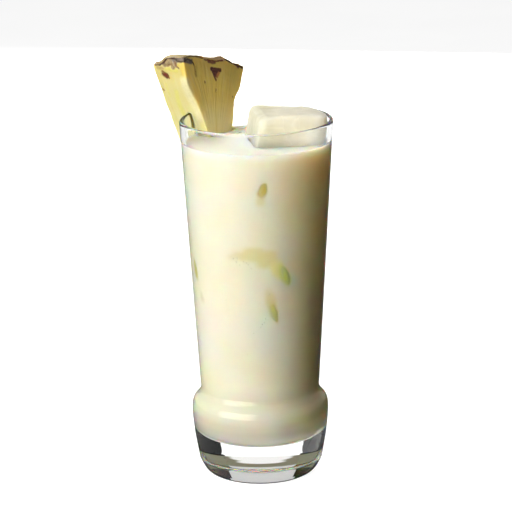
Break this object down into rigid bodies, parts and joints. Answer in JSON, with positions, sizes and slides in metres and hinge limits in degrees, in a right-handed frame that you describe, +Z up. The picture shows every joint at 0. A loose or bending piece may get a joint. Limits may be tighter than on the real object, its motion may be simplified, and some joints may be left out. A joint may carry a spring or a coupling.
{
  "type": "pineapple cocktail in a tall glass",
  "caption": "Creamy pineapple drink in a tall flared glass with a thick swollen base, a block of cloudy ice and a slit pineapple slice on the rim.",
  "frame": {"origin": "centre of the glass's flat foot, on the surface that it stands on", "axes": "+Z up along the glass's axis; +X to the right and +Y to the back as served, so the slice is at the back left and the ice at the right"},
  "size_m": [0.0853, 0.0893, 0.203],
  "materials": {
    "clear_glass": "clear polished glass",
    "creamy_drink": "opaque pale cream liquid",
    "cloudy_ice": "wet cloudy ice",
    "pineapple_flesh": "moist fibrous fruit with a rough rind"
  },
  "bodies": {
    "root": {"glass": "clear_glass", "drink": "creamy_drink", "ice_block": "cloudy_ice", "pineapple_slice": "pineapple_flesh"}
  },
  "joints": []
}
